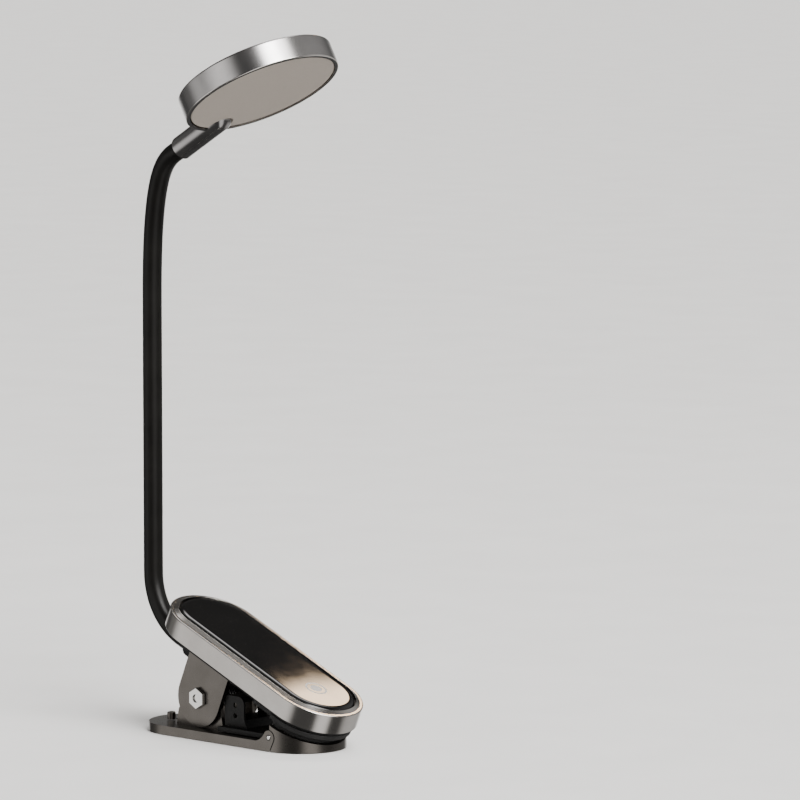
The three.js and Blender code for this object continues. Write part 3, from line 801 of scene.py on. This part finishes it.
def neck():
    """The neck's skin: a root, seven stretches that each span one joint, and a tip."""
    route = Route(neck_line())
    flex = [Vector(JOINTS[f"neck_flex_{number}"]["pos_m"]) for number in range(1, 8)]
    middles = []
    for place in flex:
        nearest = min(range(len(route.points)), key=lambda index: (route.points[index] - place).length)
        middles.append(route.reach[nearest])
    between = [(a + b) / 2 for a, b in zip(middles, middles[1:])]
    cuts = [middles[0] - END_STRETCH, *between, middles[-1] + END_STRETCH]
    root = neck_skin("neck_skin_root", route, 0, cuts[0])
    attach(root, "housing")
    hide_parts("neck_sleeve_0")
    for number, (start, end) in enumerate(zip(cuts, cuts[1:]), 1):
        stretch = neck_skin(f"neck_skin_{number}", route, start, end)
        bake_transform(stretch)
        if number < 7:
            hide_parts(f"neck_sleeve_{number}")
    tip = neck_skin("neck_skin_tip", route, cuts[-1], route.length)
    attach(tip, "head")
    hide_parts("neck_sleeve_7")


# ---------------------------------------------------------------- head

DRUM_WALL = 1.5 * MM
DRUM_BACK = 1.4 * MM
DRUM_ROUND = 0.8 * MM
DRUM_CUT_EDGE = 0.45 * MM
FERRULE_ROOM = 0.3 * MM
# the slot in the drum's wall runs between these distances behind the drum's middle
SLOT_START = 24 * MM
SLOT_END = 40 * MM
POST_RADIUS = 2.2 * MM
POST_RISE = 6.2 * MM
THREAD_RADIUS = 1.1 * MM
THREAD_FLOOR = 1.2 * MM
FERRULE_BORE = 8 * MM


def head_drum():
    """The turned drum: open below, with a slot for the ferrule and three posts for the board's screws."""
    middle, radius = DRUM.mid, DRUM.size.y / 2
    drum = rod("head_drum", radius, (middle.x, 0, DRUM.low.z), (middle.x, 0, DRUM.high.z), 144)
    faces(drum, (0, 0, -1))
    bpy.ops.mesh.inset(thickness=DRUM_WALL)
    extrude(z=DRUM.size.z - DRUM_BACK)
    outline_at(drum, 2, DRUM.high.z)
    round_over(DRUM_ROUND, 5)
    outline_at(drum, 2, DRUM.low.z, test=lambda m: (m.xy - middle.xy).length > radius - MM)
    round_over(DRUM_CUT_EDGE, 3)
    carve(drum, rod("slot", FERRULE.size.y / 2 + FERRULE_ROOM, (middle.x - SLOT_END, 0, FERRULE.mid.z),
                    (middle.x - SLOT_START, 0, FERRULE.mid.z), 64))
    for number in range(1, 4):
        place = Box(f"head_screw_{number}", HEAD).mid
        post = upright("post", POST_RADIUS, place, DRUM.low.z + POST_RISE, DRUM.high.z - MM, 32)
        carve(drum, post, "UNION")
        carve(drum, upright("thread", THREAD_RADIUS, place, DRUM.low.z - MM, DRUM.high.z - THREAD_FLOOR, 24))
    finish(drum, HEAD_METAL, "head", HEAD, ["head_shell"])
    drum.data.materials.append(EDGE_METAL)
    for face in drum.data.polygons:
        place = HEAD.inverted() @ face.center
        outside = (place.xy - middle.xy).length > radius - 0.5 * MM
        if outside and place.z < DRUM.low.z + DRUM_CUT_EDGE - 0.01 * MM:
            face.material_index = 1


def diffuser():
    """The frosted disc, with a round-ended notch that the ferrule lies in."""
    box = Box("diffuser", HEAD)
    disc = rod("frosted_diffuser", box.size.y / 2, (box.mid.x, 0, box.low.z), (box.mid.x, 0, box.high.z), 120)
    half = FERRULE.size.y / 2 + FERRULE_ROOM
    end = Vector((FERRULE.high.x - half + FERRULE_ROOM, 0, 0))
    under, over = box.low.z - MM, box.high.z + MM
    carve(disc, block("notch", (FERRULE.high.x - SLOT_END, -half, under), (end.x, half, over)))
    carve(disc, upright("notch", half, end, under, over, 64))
    outline_at(disc, 2, box.low.z)
    round_over(0.35 * MM, 3)
    finish(disc, FROST, "head", HEAD, ["diffuser"])


def ferrule():
    """The metal barrel that the neck ends in, rounded over at its front end."""
    radius = FERRULE.size.y / 2
    low, high, z = FERRULE.low.x, FERRULE.high.x, FERRULE.mid.z
    piece = rod("ferrule_barrel", radius, (low, 0, z), (high, 0, z), 72)
    faces(piece, (-1, 0, 0))
    bpy.ops.mesh.inset(thickness=radius - NECK_RADIUS - FERRULE_ROOM)
    extrude(x=FERRULE_BORE)
    outline_at(piece, 0, high)
    round_over(radius * 0.9, 14)
    outline_at(piece, 0, low)
    round_over(0.3 * MM, 3)
    finish(piece, HEAD_METAL, "head", HEAD, ["ferrule"], angle=25)


# ---------------------------------------------------------------- clip

def clip_pieces():
    softened("lever", "clip_lever", GUNMETAL, "foot", 0.3 * MM)
    softened("clip_bracket", "clip_bracket_ears", GUNMETAL, "housing", 0.25 * MM)
    softened("jaw_shell", "clip_jaw", GUNMETAL, "jaw", 0.3 * MM)
    softened("jaw_pad", "jaw_pad_rubber", RUBBER, "jaw", 0.3 * MM)
    softened("throat_block", "throat_stop", PLASTIC, "foot", 0.3 * MM)
    softened("neck_socket", "neck_root_socket", PLASTIC, "housing", 0.3 * MM)
    pin("clip_axle", "main_axle", WIRE, "foot", 0.3 * MM)
    hex_cap(-1, "axle_cap_right", "hex_cap_right")
    hex_cap(1, "axle_cap_left", "hex_cap_left")
    for hand in ("right", "left"):
        pin(f"jaw_pivot_{hand}", f"jaw_pin_{hand}", BRIGHT, "foot", 0.15 * MM, 32)
        spring_peg(hand)
    spring_half("torsion_spring_lower", "spring_lower_half", "foot", -1, LEVEL, 4.3,
                [(-9, -6.6), (-16, -9.9)])
    spring_half("torsion_spring_upper", "spring_upper_half", "housing", 1, CASE, 3.4,
                [(-7.5, 6.5), (-9.6, 14.3)])


def spring_peg(hand):
    """A peg that stands on the lever behind the ears, with a shallow dish in its top."""
    place = Box(f"spring_peg_{hand}")
    peg = upright(f"plate_rivet_{hand}", place.size.x / 2, place.mid, place.low.z, place.high.z)
    outline_at(peg, 2, place.high.z)
    round_over(0.5 * MM, 4)
    faces(peg, (0, 0, 1))
    bpy.ops.mesh.inset(thickness=0.4 * MM)
    extrude(z=-0.2 * MM)
    finish(peg, GUNMETAL, "foot", LEVEL, [f"spring_peg_{hand}"])


# ---------------------------------------------------------------- the pieces that keep their CAD shape

def carried_over():
    """The pieces inside keep their CAD shape and get their finish."""
    keep = {"battery_cell": CELL_WRAP, "main_board": GREEN_BOARD, "touch_pad": RUBBER, "usb_socket": WIRE,
            "light_guide": ACRYLIC, "led_board": WHITE_BOARD}
    keep.update({f"led_{number}": PHOSPHOR for number in range(1, 6)})
    keep.update({f"neck_core_{number}": WIRE for number in range(8)})
    for node, material in keep.items():
        mesh = frame["nodes"][node].data
        mesh.materials.clear()
        mesh.materials.append(material)


# ---------------------------------------------------------------- floor, light and camera

FLOOR_SIZE = 14
FLOOR_GAP = 0.2 * MM


def floor():
    """A pale sheet that lies just under the foot. Metals mirror the room and not the sheet."""
    clear()
    bpy.ops.mesh.primitive_plane_add(size=FLOOR_SIZE, location=(0, 0, -FLOOR_GAP))
    plane = named("floor")
    paper = Finish("pale_paper", 0.85)
    paper.colours(paper.noise(0.02), (0.9, 0.895, 0.885), (0.93, 0.925, 0.915))
    plane.data.materials.append(paper.material)
    plane.visible_glossy = False


# the soft strips of light in the room, each by the direction it stands in, in degrees round from +x, how far
# it reaches to each side, the elevations it runs between, and how bright it is
STRIPS = [(-128, 33, -35, 0, 1.1), (-104, 30, 3, 26, 1.8), (-8, 32, 16, 70, 11.0), (-21, 28, -75, 16, 1.15),
          (132, 34, -20, 2, 1.8), (76, 42, -50, -13, 0.6), (62, 50, 2, 46, 0.42), (-164, 20, -24, 24, 0.12),
          (125, 50, 57, 68, 9.0)]
# the room between the strips, and straight overhead; the degrees over which a strip fades; and the wall seen
SHADE = 0.09
ZENITH = 0.35
ZENITH_START, ZENITH_END = 0.9, 0.96
EDGE = 11
PALE = (2.1, 2.1, 2.09, 1)
# the key light's place and size in metres, and its power in watts
KEY_PLACE = Vector((1.1, -0.45, 1.45))
KEY_WIDTH, KEY_HEIGHT, KEY_POWER = 1.0, 0.8, 34
# the light that the glass mirrors: the point of the panel it is aimed from, ahead of the panel's front end
# and to its right, then its distance, size, power and warm colour
GLOW_AHEAD = 9.5 * MM
GLOW_ASIDE = -16.4 * MM
GLOW_DISTANCE = 1.2
GLOW_WIDTH, GLOW_HEIGHT, GLOW_POWER = 0.11, 0.065, 0.4
GLOW_COLOUR = (1.0, 0.74, 0.5)

# the eye's place, how far round from -y and how high it looks from, and its lens in millimetres
EYE = Vector((1.47285, -1.47, 0.34725))
EYE_TURN = math.radians(43.48)
EYE_RISE = math.radians(6.048)
LENS = 253.5


def studio():
    """A dim room with soft strips of light round the object, and a plain pale wall where the eye looks."""
    world = bpy.data.worlds.new("studio")
    bpy.context.scene.world = world
    world.use_nodes = True
    nodes, links = world.node_tree.nodes, world.node_tree.links

    def node(kind, operation=None, **inputs):
        made = nodes.new(kind)
        if operation:
            made.operation = operation
        for name, value in inputs.items():
            socket = made.inputs[int(name[1:])] if name[1:].isdigit() else made.inputs[name.replace("_", " ")]
            if isinstance(value, bpy.types.NodeSocket):
                links.new(value, socket)
            else:
                socket.default_value = value
        return made

    def graded(value, start, end, low, high):
        made = node("ShaderNodeMapRange", Value=value, From_Min=start, From_Max=end, To_Min=low, To_Max=high)
        made.interpolation_type = "SMOOTHSTEP"
        return made.outputs["Result"]

    direction = nodes.new("ShaderNodeTexCoord").outputs["Generated"]
    height = node("ShaderNodeSeparateXYZ", Vector=direction).outputs["Z"]
    level = node("ShaderNodeVectorMath", "MULTIPLY", _0=direction, _1=(1, 1, 0)).outputs["Vector"]
    level = node("ShaderNodeVectorMath", "NORMALIZE", _0=level).outputs["Vector"]
    total = graded(height, ZENITH_START, ZENITH_END, SHADE, ZENITH)
    for azimuth, reach, low, high, strength in STRIPS:
        azimuth, reach, low, high = (math.radians(angle) for angle in (azimuth, reach, low, high))
        edge = math.radians(EDGE)
        towards = (math.cos(azimuth), math.sin(azimuth), 0)
        facing = node("ShaderNodeVectorMath", "DOT_PRODUCT", _0=level, _1=towards).outputs["Value"]
        strip = graded(facing, math.cos(reach), 1, 0, strength)
        above = graded(height, math.sin(low - edge), math.sin(low + edge), 0, 1)
        below = graded(height, math.sin(high - edge), math.sin(high + edge), 1, 0)
        window = node("ShaderNodeMath", "MULTIPLY", _0=above, _1=below).outputs["Value"]
        total = node("ShaderNodeMath", "MULTIPLY_ADD", _0=strip, _1=window, _2=total).outputs["Value"]
    room = node("ShaderNodeBackground", Color=(1, 0.985, 0.965, 1), Strength=total).outputs["Background"]
    wall = node("ShaderNodeBackground", Color=PALE, Strength=1.0).outputs["Background"]
    seen = nodes.new("ShaderNodeLightPath").outputs["Is Camera Ray"]
    mixed = node("ShaderNodeMixShader", _0=seen, _1=room, _2=wall).outputs["Shader"]
    links.new(mixed, nodes["World Output"].inputs["Surface"])


def softbox(name, place, turn, width, height, power, colour=(1, 1, 1), full=0.2):
    """A soft rectangular light, at full strength out to a share of its side and nothing at its edge."""
    clear()
    bpy.ops.object.light_add(type="AREA", location=place, rotation=turn.to_euler())
    light = bpy.context.object
    light.name = light.data.name = name
    light.data.shape = "RECTANGLE"
    light.data.size, light.data.size_y = width, height
    light.data.energy = power
    light.data.color = colour
    light.visible_camera = False
    light.data.use_nodes = True
    nodes, links = light.data.node_tree.nodes, light.data.node_tree.links
    middle = nodes.new("ShaderNodeVectorMath")
    middle.operation = "DISTANCE"
    middle.inputs[1].default_value = (0.5, 0.5, 0)
    links.new(nodes.new("ShaderNodeNewGeometry").outputs["Parametric"], middle.inputs[0])
    fade = nodes.new("ShaderNodeMapRange")
    fade.interpolation_type = "SMOOTHSTEP"
    for socket, number in (("From Min", 0.5), ("From Max", full), ("To Min", 0.0), ("To Max", 1.0)):
        fade.inputs[socket].default_value = number
    links.new(middle.outputs["Value"], fade.inputs["Value"])
    links.new(fade.outputs["Result"], nodes["Emission"].inputs["Strength"])
    return light


def lights():
    """A key from the front right, and a warm light that the front of the glass mirrors towards the eye."""
    softbox("key", KEY_PLACE, (-KEY_PLACE).to_track_quat("-Z", "Y"), KEY_WIDTH, KEY_HEIGHT, KEY_POWER)
    front = CASE @ Vector((PANEL.high.x + GLOW_AHEAD, GLOW_ASIDE, PANEL.high.z))
    glass_up = CASE @ Vector((0, 0, 1))
    away = (front - EYE).normalized().reflect(glass_up)
    top = Vector((0, 0, 1)).reflect(glass_up)
    top = (top - away * top.dot(away)).normalized()
    turn = Matrix((top.cross(away), top, away)).transposed().to_quaternion()
    softbox("glow_on_glass", front + GLOW_DISTANCE * away, turn, GLOW_WIDTH, GLOW_HEIGHT, GLOW_POWER,
            GLOW_COLOUR, 0.3)


def camera():
    away = Vector((math.sin(EYE_TURN) * math.cos(EYE_RISE), -math.cos(EYE_TURN) * math.cos(EYE_RISE),
                   math.sin(EYE_RISE)))
    lens = bpy.data.cameras.new("camera")
    lens.lens, lens.sensor_width = LENS, 36
    lens.clip_start, lens.clip_end = 0.1, 20
    eye = bpy.data.objects.new("camera", lens)
    bpy.context.collection.objects.link(eye)
    eye.location = EYE
    eye.rotation_euler = (-away).to_track_quat("-Z", "Y").to_euler()
    bpy.context.scene.camera = eye


camera()
studio()
lights()
floor()
housing_rim()
glass_panel()
bottom_shell()
upper_pad()
for number in range(1, 5):
    screw(f"underside_screw_{number}", f"case_screw_{number}", "housing", CASE)
for hand in ("right", "left"):
    screw(f"bracket_bolt_{hand}", f"bracket_screw_{hand}", "housing", CASE)
for number in range(1, 4):
    screw(f"head_board_screw_{number}", f"head_screw_{number}", "head", HEAD)
clip_pieces()
neck()
head_drum()
diffuser()
ferrule()
carried_over()

leave_edit()
